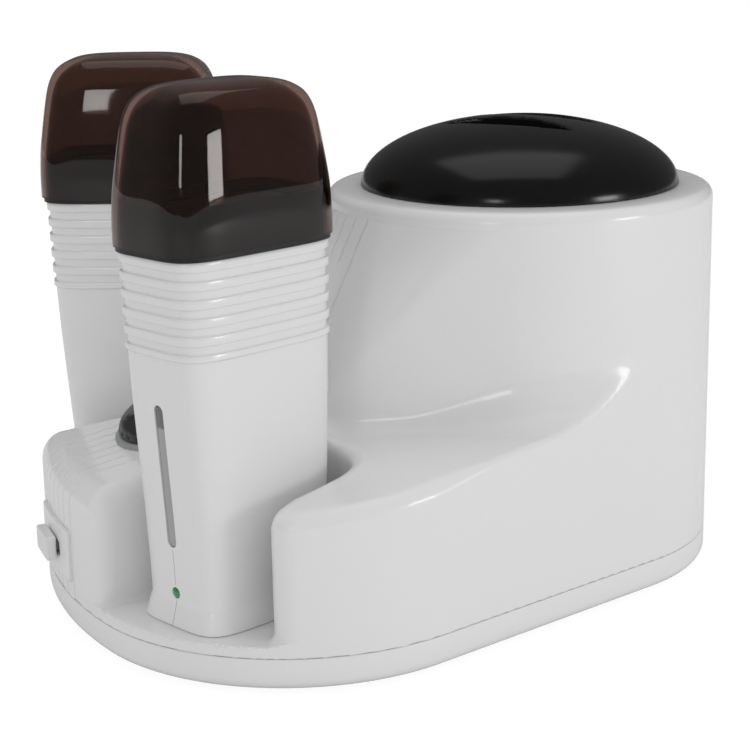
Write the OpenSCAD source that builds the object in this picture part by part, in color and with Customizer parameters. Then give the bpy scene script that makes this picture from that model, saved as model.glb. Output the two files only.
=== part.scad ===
// Roll-on wax heater: a round wax-pot tower with a console and two docks,
// two hand-held roll-on heaters with clear caps. Millimetres, +Z up.
// +X runs from the docks to the pot, the table is z = 0.

/* [Base] */
// radius of the round wax-pot tower
tower_r = 78; // [74:0.5:84]
// height of the tower's top edge above the table
tower_h = 150; // [142:1:158]
// distance from the pot's axis to the base's front end
end_r = 198; // [194:0.5:206]
// radius of the base's two front corners
corner_r = 85; // [80:1:90]
// half angle between the two front corners, seen from the pot
corner_a = 15; // [13:0.5:17]
// wall thickness of the housing
wall = 2.6; // [2.2:0.1:3]
// height of the seam between the bottom pan and the housing
seam_h = 13.5; // [12:0.5:15]
// gap under the bottom pan, made by the rubber feet
foot_gap = 1.5; // [1:0.1:2.5]
// rounding of the bottom pan's lower edge
pan_round = 4; // [3:0.5:5]

/* [Console] */
// height of the console's top at its front end
console_h = 62; // [58:0.5:66]
// rise of the console's top towards the tower, per mm
console_slope = 0.2; // [0.16:0.01:0.24]
// rounding where the console's top turns down over its end
console_round = 9; // [7:0.5:12]
// distance between two decorative grooves
groove_pitch = 7.4; // [6.8:0.1:7.8]
// width of a decorative groove
groove_w = 1.1; // [0.8:0.1:1.5]
// depth of a decorative groove
groove_d = 0.8; // [0.5:0.1:1]
// slant of the tower's grooved front, mm forwards per mm down
front_slant = 0.466; // [0.4:0.01:0.5]
// half width of the tower's grooved front
front_hw = 28.8; // [26:0.2:31]
// height the slanted front of the tower reaches down to
front_z = 74; // [70:1:78]
// height the side shelves would have at the pot's axis
shelf_h = 79.5; // [77:0.5:82]
// rise of the side shelves towards the tower, per mm
shelf_slope = 0.1; // [0.08:0.01:0.12]
// rounding of a side shelf's outer edge
shelf_round = 6; // [4:0.5:8]

/* [Docks] */
// distance from the pot's axis to a roll-on's axis
dock_rho = 156.2; // [154:0.2:158]
// angle between the base's middle line and a dock
dock_a = 22.9; // [22.5:0.1:23.5]
// height of the dock's floor
dock_z = 18; // [17:0.5:20]
// half width of a dock on its outer side
dock_out = 30; // [28:0.5:31]
// half width of a dock on the console's side
dock_in = 27.5; // [26.5:0.5:28]
// distance from the roll-on's axis to the dock's inner end
dock_back = 42; // [40:0.5:44]
// rounding of the dock's inner corners
dock_round = 22; // [16:1:25]

/* [Roll-ons] */
// half length of the grip's section at the ribs
grip_a = 35.4; // [34.5:0.1:36]
// half width of the grip's section at the ribs
grip_b = 23.1; // [22.5:0.1:24]
// half length of the body's section above the foot
waist_a = 30.2; // [29.8:0.1:31]
// half width of the body's section above the foot
waist_b = 21.6; // [21.2:0.1:22.2]
// wall thickness of the roll-on's shells and cap
shell_t = 2; // [1.8:0.1:2.2]
// height of the rib zone's lower lip above the table
rib_z = 119; // [116:0.5:121]
// height of the shells' top above the table
shell_top = 153; // [152:0.5:155]
// number of grooves round the grip
rib_n = 5; // [3:1:5]
// distance between two grip grooves
rib_pitch = 6.4; // [6:0.1:6.6]
// height of one grip groove
rib_w = 3.3; // [2.6:0.1:3.6]
// depth of one grip groove
rib_d = 0.9; // [0.5:0.1:1]
// height of the neck's collar that the cap stands on
collar_h = 1.6; // [1.2:0.1:2.4]
// height of the cap
cap_h = 55.7; // [54:0.5:60]
// half length of the cap's section at its lower edge
cap_a = 37.3; // [36.9:0.1:38]
// height of the dark neck above the shells' top
neck_h = 18; // [14:0.5:20]
// length of the level window
window_l = 53; // [44:1:56]
// height of the level window's lower end above the table
window_z = 47.5; // [45:0.5:50]
// width of the level window
window_w = 4.6; // [4:0.2:5.4]
// height of the pilot lamp above the table
led_z = 30.2; // [28:0.2:34]
// radius of the pilot lamp
led_r = 1.9; // [1.5:0.1:2.5]

/* [Wax pot] */
// outer radius of the removable wax pot
pot_r = 55.5; // [52:0.5:56]
// depth of the removable wax pot
pot_depth = 74; // [64:1:78]
// wall thickness of the removable wax pot
pot_t = 1.4; // [1:0.1:2]
// radius of the lid at its lower edge
lid_r = 64.4; // [63:0.2:66]
// height of the lid's dome
lid_h = 27; // [24:0.5:30]
// wall thickness of the lid
lid_t = 2.4; // [2:0.1:3]
// half length of one finger pocket in the lid
pocket_l = 29; // [25:0.5:31]
// half width of one finger pocket in the lid
pocket_w = 7.6; // [6.5:0.1:8.5]
// half width of the bar between the finger pockets
grip_bar = 4.4; // [3.5:0.1:6]
// turn of the bar between the finger pockets
grip_turn = -50.7; // [-90:1:90]
// depth of a finger pocket
pocket_d = 11; // [8:0.5:13]

/* [Controls] */
// radius of the temperature knob
knob_r = 25; // [20:0.5:25]
// height of the temperature knob
knob_h = 9.5; // [7:0.5:12]
// distance from the pot's axis to the knob's axis
knob_x = 145.4; // [144:0.5:148]
// number of flutes round the knob
flute_n = 28; // [20:1:36]
// width of the slide switch's block
slider_w = 18; // [14:1:20]
// height of the slide switch's block
slider_h = 9.5; // [8:0.5:11]
// how far the slide switch's block stands out
slider_out = 4.5; // [3:0.5:6]
// travel of the slide switch to each side
slider_travel = 6; // [4:0.5:6]
// height of the slide switch's middle
slider_z = 30.5; // [29:0.5:33]

/* [Hidden] */
$fn = 96;
e = 0.01;
// joined curves cross by a hair, k, so that no two of them only graze
k = 0.08;
corner_d = end_r - corner_r;
c2 = [-corner_d*cos(corner_a), -corner_d*sin(corner_a)];
side_n = 180 + corner_a + acos((tower_r - corner_r)/corner_d);
side_l = sqrt(corner_d*corner_d - pow(corner_r - tower_r, 2));
face_out = end_r + 1.5;
shift_x = (face_out + slider_out - tower_r)/2;
console_x = -(end_r - 6.5);
lobe_dx = front_slant*(tower_h - front_z);
crease_x = -sqrt(tower_r*tower_r - front_hw*front_hw);
rim_z = tower_h + 6;
pot_rim_z = rim_z - 2.5;
pot_bot = pot_rim_z - pot_depth;
well_r = pot_r + 1.5;
well_t = 1.5;
well_bot = pot_bot - 0.3;
knob_z = console_h + console_slope*(-knob_x - console_x);
tilt = atan(console_slope);
bezel_r = knob_r + 2;
cap_z = shell_top + collar_h;
foot_pts = [[28, 58], [28, -58], [-118, 88], [-118, -88]];
// screw bosses: distance out, distance along, direction of "out"
boss_r = tower_r - 10.8;
// circle of the rim's screws, clear of the well's wall
rim_screw_at = max(pot_r + 4.8, well_r + well_t + 1.8);
boss_pts = [[boss_r, 0, 49], [boss_r, 0, -49], [boss_r, -80, side_n], [boss_r, 80, -side_n],
  [166, 0, 180]];

white = [0.93, 0.93, 0.92];
black = [0.06, 0.06, 0.065];
grey = [0.45, 0.46, 0.47];
alu = [0.75, 0.76, 0.77];
steel = [0.6, 0.6, 0.62];
brass_c = [0.78, 0.62, 0.3];

module put() translate([shift_x, 0, 0]) children();

// ---- shared shapes -------------------------------------------------

// section of a ring or edge from z0 to z1 that ends at x = r, edges rounded
function arc_pts(cx, cz, r, a0, a1, n = 5) =
  [for (i = [0:n]) let (a = a0 + (a1 - a0)*i/n) [cx + r*cos(a), cz + r*sin(a)]];
function edge_poly(x0, r, z0, z1, eb, et) = concat([[x0, z0]],
  eb > 0 ? arc_pts(r - eb, z0 + eb, eb, -90, 0) : [[r, z0]],
  et > 0 ? arc_pts(r - et, z1 - et, et, 0, 90) : [[r, z1]], [[x0, z1]]);

// base plan: tower circle, two corner circles, front arc and straight sides
module fan(z0, z1, ins = 0) translate([0, 0, z0]) linear_extrude(z1 - z0) {
  circle(tower_r - ins);
  fan_front2d(ins);
}
module fan_corners(ins = 0) {
  w = corner_a + 2;
  for (s = [-1, 1]) translate([c2[0], s*c2[1]]) circle(corner_r - ins);
  intersection() {
    circle(end_r - ins - k);
    polygon([[0, 0], [-2*end_r, -2*end_r*tan(w)], [-2*end_r, 2*end_r*tan(w)]]);
  }
}
module fan_front2d(ins = 0) {
  fan_corners(ins);
  for (s = [0, 1]) mirror([0, s]) rotate(side_n) translate([0, -side_l - 3])
    square([tower_r - ins - k, side_l + 6]);
  translate([-end_r*0.7, c2[1]]) square([end_r*0.7, -2*c2[1]]);
}

// one dock's opening, x runs outwards along the roll-on's radial line
module dock2d(g = 0) {
  r = dock_round - g;
  xi = -dock_back - g;
  translate([xi + r + 2*g, dock_out + g - r - 2*g]) circle(r + 2*g);
  translate([xi + r + 2*g, -dock_in - g + r + 2*g]) circle(r + 2*g);
  translate([xi, -dock_in + dock_round]) square([90, dock_out + dock_in - 2*dock_round]);
  translate([xi + r + 2*g, -dock_in - g]) square([140, dock_out + dock_in + 2*g]);
  polygon([[12, 0], [12, -dock_in - g], [38, -dock_in - 4 - g], [80, -dock_in - 16 - g],
    [80, dock_out + 18 + g], [22, dock_out + 6 + g], [0, dock_out + g]]);
}

// s = 1 near side (-Y), s = -1 far side (+Y)
module at_dock(s = 1) mirror([0, s < 0 ? 1 : 0, 0]) rotate([0, 0, 180 + dock_a])
  translate([dock_rho, 0, 0]) children();

module dock_cut(g = 0) at_dock() translate([0, 0, dock_z - g]) linear_extrude(120) dock2d(g);

// section of the grip: a rounded oblong that bows out a little
function sect(a, b, n = 4.6, m = 56) = [for (i = [0:m - 1]) let (t = 360*i/m)
  [a*sign(cos(t))*pow(abs(cos(t)), 2/n), b*sign(sin(t))*pow(abs(sin(t)), 2/n)]];
module taper(z0, a0, b0, z1, a1, b1) translate([0, 0, z0])
  linear_extrude(z1 - z0, scale = [a1/a0, b1/b0], slices = 1, $fn = 1) polygon(sect(a0, b0));
module prism(z0, z1, a, b) translate([0, 0, z0]) linear_extrude(z1 - z0) polygon(sect(a, b));

// ---- base ----------------------------------------------------------

module at_boss(q) rotate([0, 0, q[2]]) translate([q[0], q[1], 0]) children();

module feet() color([0.12, 0.12, 0.12]) put()
  for (q = foot_pts) translate([q[0], q[1], 0]) {
    rotate_extrude() polygon(edge_poly(0, 8, 0, foot_gap, 0.6, 0));
    translate([0, 0, foot_gap - e]) cylinder(r = 6.8, h = 1.2);
  }

module base_pan() color(white) put() difference() {
  union() {
    difference() {
      hull() {
        fan(foot_gap, foot_gap + 0.1, pan_round);
        fan(foot_gap + pan_round*0.3, foot_gap + pan_round*0.3 + 0.1, pan_round*0.3);
        fan(foot_gap + pan_round, seam_h, 0);
      }
      fan(foot_gap + pan_round*0.7, seam_h + 1, wall);
      fan(foot_gap + 2.2, seam_h + 1, pan_round + 1);
    }
    // tongue that locates the housing
    difference() {
      union() {
        fan(seam_h - 4, seam_h, wall - 0.3);
        fan(seam_h - 1, seam_h + 2, wall + 0.1);
      }
      fan(seam_h - 5, seam_h + 3, wall + 1.5);
      dock_relief();
      mirror([0, 1, 0]) dock_relief();
    }
    for (q = boss_pts) at_boss(q) translate([0, 0, foot_gap])
      cylinder(r = 5, h = seam_h - foot_gap - 0.4);
    // stiffening ribs across the floor
    for (x = [-150, -100, -50, 50]) translate([x - 0.8, -52, foot_gap + 1]) cube([1.6, 104, 6]);
    for (y = [-36, 36]) translate([-172, y - 0.8, foot_gap + 1]) cube([222, 1.6, 6]);
  }
  for (q = foot_pts) translate([q[0], q[1], foot_gap - 1]) cylinder(r = 7, h = 1 + 1.2);
  for (q = boss_pts) at_boss(q) {
    cylinder(r = 1.8, h = 40);
    cylinder(r = 3.8, h = foot_gap + 5);
    translate([0, 0, seam_h - 0.4]) cylinder(r = 6, h = 5);
    translate([0, -1.4, seam_h - 0.4]) cube([10, 2.8, 5]);
  }
  // cooling slots under the wax pot
  for (i = [-4:4]) translate([i*8 - 1.5, -20, 0]) cube([3, 40, 8]);
}
module dock_relief() at_dock() translate([0, 0, seam_h - 0.5]) linear_extrude(20)
  translate([8, -40]) square([80, 86]);

module pan_screws() color(steel) put() for (q = boss_pts) at_boss(q) translate([0, 0, foot_gap + 4.98]) {
  difference() {
    rotate_extrude() polygon([[0, -2.2], [2.4, -2.2], [3.3, -1.4], [3.3, 0], [0, 0]]);
    for (a = [0, 90]) rotate([0, 0, a]) translate([-1.9, -0.35, -2.4]) cube([3.8, 0.7, 1.3]);
  }
  translate([0, 0, -e]) cylinder(r = 1.4, h = 13);
}

// the console's side outline in x and z, lowered by g; y picks the end's curve
module console_side(g = 0, y = 0) {
  xe = -sqrt(end_r*end_r - y*y) + g;
  r = max(console_round - g, 0.5);
  s = console_slope;
  zt = function(x) console_h - g*sqrt(1 + s*s) + s*(x - console_x);
  // centre of the rounding touches the end line and the sloping top
  cx = xe + r;
  cz = zt(cx) - r*sqrt(1 + s*s);
  polygon(concat([[0, seam_h - 3], [xe, seam_h - 3]],
    [for (i = [0:8]) let (a = 180 - i*(90 - tilt)/8) [cx + r*cos(a), cz + r*sin(a)]],
    [[-60, zt(-60)], [0, zt(-60)]]));
}
// the hollow's shapes, g > 0, run out below the seam to leave it open
function low(g) = seam_h - (g > 0 ? 2 : 0);
module console_body(g = 0) intersection() {
  fan(low(g), 110, g);
  translate([0, 47 - g, 0]) rotate([90, 0, 0]) linear_extrude(94 - 2*g) console_side(g, 0);
}

// side shelves: one slanting top over the base plan, its edge rounded in steps
function shelf_ring(z, ins, slope = 0) = let (
    r = tower_r - ins - k,
    // the side ends a little way inside the tower
    foot = [r*cos(side_n) - 3*sin(side_n), r*sin(side_n) + 3*cos(side_n)],
    side = concat([foot], [for (i = [0:24]) let (a = side_n + (180 + corner_a - side_n)*i/24)
      c2 + (corner_r - ins)*[cos(a), sin(a)]]),
    front = [for (i = [1:5]) let (a = 180 + corner_a - corner_a*i/3) (end_r - ins)*[cos(a), sin(a)]],
    back = [for (i = [len(side) - 1:-1:0]) [side[i][0], -side[i][1]]])
  [for (q = concat(side, front, back)) [q[0], q[1], z + slope*q[0]]];
module shelf_solid(g) {
  r = shelf_round - g;
  rings = concat([shelf_ring(low(g), g)], [for (a = [0:30:90])
    shelf_ring(shelf_h - g - r*(1 - sin(a)), g + r*(1 - cos(a)), shelf_slope)]);
  n = len(rings[0]);
  m = len(rings);
  mid = [-90, 0, 0];
  polyhedron(points = concat([for (q = rings) each q],
      [mid + [0, 0, low(g)], mid + [0, 0, shelf_h - g + shelf_slope*mid[0]]]),
    faces = concat([for (i = [0:n - 1]) [(i + 1) % n, i, n*m]],
      [for (i = [0:n - 1]) [n*(m - 1) + i, n*(m - 1) + (i + 1) % n, n*m + 1]],
      [for (j = [0:m - 2], i = [0:n - 1]) each let (a = n*j + i, b = n*j + (i + 1) % n)
        [[b + n, a + n, a], [b + n, a, b]]]));
}
module shelf_body(g = 0) difference() {
  shelf_solid(g);
  // the console between the docks has its own top
  translate([-end_r - 10, -47, 0]) cube([end_r - 98, 94, 200]);
}

// slanted, grooved front blended into the round tower
module tower_front(g = 0) {
  r = tower_r - g;
  hw = front_hw;
  hull() {
    translate([0, 0, tower_h - 0.05]) cylinder(r = r, h = 0.05);
    translate([0, 0, front_z]) linear_extrude(0.05) {
      circle(r);
      translate([-lobe_dx, 0]) intersection() {
        circle(r);
        translate([-2*r, -hw]) square([2*r, 2*hw]);
      }
    }
  }
}
module lobe_foot(g = 0) translate([0, 0, low(g)]) linear_extrude(front_z - low(g) + 0.05)
  translate([-lobe_dx, 0]) intersection() {
    circle(tower_r - g);
    translate([-2*tower_r, -front_hw]) square([2*tower_r, 2*front_hw]);
  }
module outer_form(g = 0) {
  console_body(g);
  shelf_body(g);
  translate([0, 0, low(g)]) cylinder(r = tower_r - g, h = tower_h - low(g));
  tower_front(g);
  lobe_foot(g);
}

// up the console's end and over its top: the middle grooves stop under the knob
module groove_band(y) translate([0, y + groove_w/2, 0]) rotate([90, 0, 0]) linear_extrude(groove_w)
  difference() {
    translate([-250, seam_h - 2]) square([250 - (abs(y) < 2.5*groove_pitch ? knob_x : 113), 100]);
    console_side(groove_d, y);
  }
module groove_face(y, len) {
  x0 = -sqrt(tower_r*tower_r - y*y);
  translate([0, y + groove_w/2, 0]) rotate([90, 0, 0]) linear_extrude(groove_w)
    polygon([[x0 - 3, tower_h + 1], [x0 + groove_d + 0.4, tower_h + 1],
      [x0 + groove_d - front_slant*len, tower_h - len],
      [x0 - 3 - front_slant*len, tower_h - len]]);
}

module base_housing() color(white) put() difference() {
  union() {
    difference() {
      union() {
        difference() { outer_form(0); dock_cut(); mirror([0, 1, 0]) dock_cut(); }
      }
      difference() {
        outer_form(wall);
        dock_cut(wall);
        mirror([0, 1, 0]) dock_cut(wall);
        // thicker wall behind the inlet
        translate([tower_r - 5, -17, 18]) cube([10, 34, 26]);
      }
    }
    for (q = boss_pts) at_boss(q) translate([0, 0, seam_h]) {
      cylinder(r = 4.6, h = q[0] == boss_r ? 30 : boss_top(-q[0]));
      if (q[0] == boss_r) translate([2, -0.9, 0]) cube([tower_r - boss_r - 3, 1.8, 30]);
    }
    // stiffening ribs down the inside of the tower
    for (a = [-110:27.5:110]) rotate([0, 0, a]) translate([tower_r - wall - 3, -0.8, 84])
      cube([4, 1.6, tower_h - 84 - 8]);
  }
  // open top for the rim ring
  translate([0, 0, tower_h - 1]) cylinder(r = tower_r - wall, h = 10);
  // screw holes in the bosses
  for (q = boss_pts) at_boss(q) cylinder(r = 1.45, h = seam_h + 14);
  // grooves
  for (j = [-3:3]) {
    groove_band(j*groove_pitch);
    groove_face(j*groove_pitch, abs(j) == 3 ? 70 : 13 + 2*abs(j));
  }
  // knob seat, shaft hole
  on_console() {
    translate([0, 0, -1.2]) cylinder(r = bezel_r + 0.3, h = 30);
    translate([0, 0, -20]) cylinder(r = 5, h = 30);
  }
  // slot of the slide switch, seat of its plate
  translate([-end_r - 4, -slider_travel - 5, slider_z - 3.4]) cube([20, 2*slider_travel + 10, 6.8]);
  rotate([0, 0, 180 - 6.3]) rotate_extrude(angle = 12.6)
    translate([end_r - 0.6, slider_z - 10.3]) square([5, 20.6]);
  // inlet seat and hole
  translate([tower_r - 1.7, -14, 22]) cube([5, 28, 18]);
  translate([tower_r - 20, -11, 25.5]) cube([30, 22, 11]);
  // contact block seats in the dock floors
  for (s = [-1, 1]) at_dock(s) translate([0, 0, dock_z - wall - 1]) {
    translate([-11, -8, 0]) cube([22, 16, wall + 2]);
  }
  // vents low on the back of the tower
  for (a = [-32:8:32]) if (abs(a) > 15) rotate([0, 0, a]) translate([tower_r - 8, -1.5, 20])
    cube([12, 3, 22]);
}
// height of the console's underside above the seam, plus a little to join
function boss_top(x) = console_h + console_slope*(x - console_x) - wall - seam_h + 0.8;
module on_console() translate([-knob_x, 0, knob_z]) rotate([0, -tilt, 0]) children();

module rim_ring() color(white) put() difference() {
  rotate_extrude() polygon(concat([[pot_r + 2.5, tower_h - 1.48], [pot_r + 2.5, pot_rim_z - 1.53],
    [pot_r + 6.6, pot_rim_z - 1.53], [pot_r + 6.6, rim_z - 0.03], [lid_r + 1.2, rim_z - 0.03],
    [tower_r - 9, rim_z - 0.6]],
    [for (i = [0:6]) let (a = 78 - i*78/6) [tower_r - 4.5 + 4.5*cos(a), tower_h + 0.6 + 4.2*sin(a)]],
    [[tower_r, tower_h], [tower_r - wall - 0.25, tower_h], [tower_r - wall - 0.25, tower_h - 6],
    [tower_r - wall - 2.2, tower_h - 6], [tower_r - wall - 2.2, tower_h - 1.5]]));
  for (a = [90, 210, 330]) rotate([0, 0, a]) translate([rim_screw_at, 0, tower_h - 3])
    cylinder(r = 1.1, h = 5.2);
}
module rim_screws() color(steel) put() for (a = [90, 210, 330]) rotate([0, 0, a])
  translate([rim_screw_at, 0, tower_h - 3]) {
    translate([0, 0, -1.7]) cylinder(r = 1.6, h = 1.7 - 0.02);
    cylinder(r = 1.05, h = 4.6);
  }

// aluminium well the pot drops into, hung from the rim ring
module heater_well() color(alu) put() difference() {
  union() {
    translate([0, 0, well_bot - well_t]) cylinder(r = well_r + well_t, h = tower_h - 1.5 - well_bot + well_t);
    translate([0, 0, tower_h - 3]) cylinder(r = pot_r + 8, h = 1.5);
  }
  translate([0, 0, well_bot]) cylinder(r = well_r, h = 200);
  for (a = [90, 210, 330]) rotate([0, 0, a]) translate([rim_screw_at, 0, tower_h - 6])
    cylinder(r = 1.2, h = 5.2);
}
module band_heater() color([0.62, 0.58, 0.5]) put() {
  translate([0, 0, well_bot + 6]) difference() {
    cylinder(r = well_r + well_t + 2.2, h = 34);
    translate([0, 0, -1]) cylinder(r = well_r + well_t + 0.02, h = 40);
    rotate([0, 0, 180]) translate([0, -3, -1]) cube([80, 6, 40]);
  }
  for (s = [-1, 1]) rotate([0, 0, 180]) translate([well_r + well_t + 0.4, s*3 - (s < 0 ? 1.2 : 0), well_bot + 10])
    cube([7, 1.2, 26]);
}
module thermal_cutout() color(alu) put() translate([20, 0, well_bot - well_t - 0.02]) mirror([0, 0, 1]) {
  cylinder(r = 8, h = 4);
  translate([0, 0, 4 - e]) cylinder(r = 6.5, h = 5);
  for (s = [-1, 1]) translate([s*4 - 0.4, -3, 8.5]) cube([0.8, 6, 6]);
}
module wax_pot() color(alu) put() difference() {
  union() {
    rotate_extrude() polygon(edge_poly(0, pot_r, pot_bot, pot_rim_z, 3, 0));
    translate([0, 0, pot_rim_z - 1.5]) cylinder(r = pot_r + 6, h = 1.5);
  }
  rotate_extrude() polygon(edge_poly(0, pot_r - pot_t, pot_bot + pot_t, pot_rim_z + 2, 2, 0));
}

// ---- lid -----------------------------------------------------------

function dome(r, h, n = 14) = [for (i = [0:n]) let (a = 90*i/n) [r*cos(a), h*sin(a)]];
module lid_solid(g = 0) rotate_extrude() polygon(concat([[0, 0]],
  dome(lid_r - g, lid_h - g)));
module pocket2d(g = 0) {
  w = pocket_w + g;
  l = pocket_l + g;
  rr = (l*l + w*w)/(2*w);
  intersection() {
    translate([0, rr - w]) circle(rr, $fn = 200);
    translate([0, -(rr - w)]) circle(rr, $fn = 200);
  }
}
module at_pocket(s) rotate([0, 0, grip_turn]) translate([0, s*(grip_bar + pocket_w), 0]) children();
module pot_lid() color(black) put() translate([0, 0, rim_z]) difference() {
  union() {
    difference() {
      lid_solid();
      difference() {
        translate([0, 0, -e]) lid_solid(lid_t);
        for (s = [-1, 1]) at_pocket(s) translate([0, 0, lid_h - pocket_d - lid_t])
          linear_extrude(40) pocket2d(lid_t);
      }
    }
    // locating skirt inside the pot's rim
    translate([0, 0, -8.5]) difference() {
      cylinder(r = pot_r - pot_t - 1, h = 18);
      translate([0, 0, -1]) cylinder(r = pot_r - pot_t - 3, h = 20);
    }
    // web that carries the skirt
    translate([0, 0, 7]) difference() {
      cylinder(r = lid_r - 3.4, h = 2);
      translate([0, 0, -1]) cylinder(r = pot_r - pot_t - 2, h = 4);
    }
  }
  // pockets: flat floor, ends scooped up
  for (s = [-1, 1]) at_pocket(s) difference() {
    translate([0, 0, lid_h - pocket_d]) linear_extrude(40) pocket2d();
    for (q = [-1, 1]) translate([q*(pocket_l + 3), 0, lid_h - pocket_d - 6]) rotate([90, 0, 0])
      cylinder(r = 13, h = 60, center = true);
  }
}

// ---- controls ------------------------------------------------------

module knob_bezel() color(grey) put() on_console() difference() {
  union() {
    translate([0, 0, -1.2]) rotate_extrude() polygon(edge_poly(0, bezel_r, 0, 3, 0, 1.2));
    translate([0, 0, -wall + 0.04]) cylinder(r = 4.9, h = wall - 0.5);
  }
  translate([0, 0, -10]) cylinder(r = 3.55, h = 20);
  translate([0, 0, 0.8]) cylinder(r = knob_r - 1.2, h = 5);
}
module temperature_knob() color(black) put() on_console() difference() {
  union() {
    translate([0, 0, 2.1]) rotate_extrude() polygon(concat([[0, 0], [knob_r - 0.4, 0], [knob_r, 0.4]],
      [for (i = [0:9]) let (a = 90*i/9) [knob_r*pow(cos(a), 0.9), 1.6 + (knob_h - 1.6)*sin(a)]]));
    translate([0, 0, -2.3]) cylinder(r = 3.2, h = 5.4);
    translate([0, 0, 1.1]) cylinder(r = 10, h = 1.2);
    // finger bar across the dome
    intersection() {
      translate([-knob_r + 3, -3.4, 4]) cube([2*knob_r - 6, 6.8, knob_h + 0.6]);
      translate([0, 0, 2.1]) rotate_extrude() polygon(concat([[0, 0]],
        [for (i = [0:9]) let (a = 90*i/9) [(knob_r - 0.6)*pow(cos(a), 0.55), 2.6 + (knob_h)*sin(a)]]));
    }
  }
  // flutes round the edge
  for (i = [0:flute_n - 1]) rotate([0, 0, i*360/flute_n + 4]) translate([knob_r + 0.75, 0, 3.4])
    cylinder(r = 1.5, h = 12, $fn = 24);
  // bore with a flat for the thermostat's shaft
  translate([0, 0, -4]) intersection() {
    cylinder(r = 2.02, h = 9);
    translate([-3, -3, -1]) cube([4.57, 6, 12]);
  }
}
module thermostat() color(steel) put() on_console() {
  difference() {
    translate([-9, -12, -wall - 12.02]) cube([18, 24, 12]);
    translate([0, 0, -8.5]) cylinder(r = 2.3, h = 10);
  }
  for (s = [-1, 1]) translate([-3, s*8 - 0.4, -wall - 19]) cube([6, 0.8, 7]);
}
module thermostat_shaft() color(steel) put() on_console() {
  translate([0, 0, -8.2]) cylinder(r = 2, h = 6);
  translate([0, 0, -2.3]) intersection() {
    cylinder(r = 2, h = 6.9);
    translate([-3, -3, -1]) cube([4.55, 6, 12]);
  }
}
module switch_plate() color(white) put() difference() {
  rotate([0, 0, 180 - 6.2]) rotate_extrude(angle = 12.4)
    translate([end_r - 0.6, slider_z - 10.2]) square([0.6 + 1.5, 20.4]);
  translate([-end_r - 8, -slider_travel - 4.4, slider_z - 2.8]) cube([20, 2*slider_travel + 8.8, 5.6]);
}
module switch_slider() color(white) put() {
  difference() {
    translate([-face_out - slider_out, -slider_w/2, slider_z - slider_h/2])
      cube([slider_out - 0.35, slider_w, slider_h]);
    for (i = [-3:3]) translate([-face_out - slider_out - 0.4, i*2 - 0.4, slider_z - slider_h/2 - 1])
      cube([0.9, 0.8, slider_h + 2]);
  }
  translate([-face_out - 0.4, -3.8, slider_z - 2.3]) cube([8.4, 7.6, 4.6]);
}
module switch_body() color([0.15, 0.15, 0.16]) put() {
  difference() {
    translate([-end_r + 3.4, -17, slider_z - 7]) cube([12, 34, 14]);
    translate([-end_r + 2, -slider_travel - 4.6, slider_z - 3]) cube([8, 2*slider_travel + 9.2, 6]);
  }
  for (i = [-1:1]) translate([-end_r + 15.2, i*8 - 2, slider_z - 0.4]) cube([6, 4, 0.8]);
}
module eight2d(r = 4) {
  for (s = [-1, 1]) translate([s*4.3, 0]) circle(r);
  square([8.6, 2*r - 1.4], center = true);
}
module power_inlet() color(black) put() difference() {
  union() {
    translate([tower_r - 1.7, -13.8, 22.2]) cube([1.6, 27.6, 17.6]);
    translate([tower_r - 16, -10.8, 25.7]) cube([14.5, 21.6, 10.6]);
  }
  translate([tower_r - 13.5, 0, 31]) rotate([90, 0, 90]) linear_extrude(20) eight2d(4);
  for (s = [-1, 1]) translate([tower_r - 20, s*4.3, 31]) rotate([0, 90, 0]) cylinder(r = 1.2, h = 20);
}
module inlet_pins() color(brass_c) put() for (s = [-1, 1])
  translate([tower_r - 21, s*4.3, 31]) rotate([0, 90, 0]) cylinder(r = 1.19, h = 16);

module control_board() color([0.1, 0.32, 0.18]) put() difference() {
  translate([-26, -30, 22]) cube([62, 60, 1.6]);
  for (x = [-21, 31], y = [-25, 25]) translate([x, y, 20]) cylinder(r = 1.7, h = 6);
}
module board_parts() color([0.7, 0.55, 0.25]) put() {
  translate([-18, -20, 23.62]) cube([16, 22, 13]);
  translate([4, -22, 23.62]) cube([20, 14, 16]);
  translate([10, 10, 23.62]) cylinder(r = 6, h = 18);
  translate([-16, 10, 23.62]) cube([18, 10, 9]);
  for (x = [-21, 31], y = [-25, 25]) translate([x, y, foot_gap + 2.22])
    cylinder(r = 3, h = 22 - foot_gap - 2.22 - 0.02);
}

// ---- roll-ons ------------------------------------------------------

inner_a = grip_a - rib_d - shell_t - 0.2;
inner_b = grip_b - rib_d - shell_t - 0.2;
cham_a = waist_a - shell_t + 0.5;
cham_b = waist_b - shell_t - 0.6;
plug_z = dock_z + 9;

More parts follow.
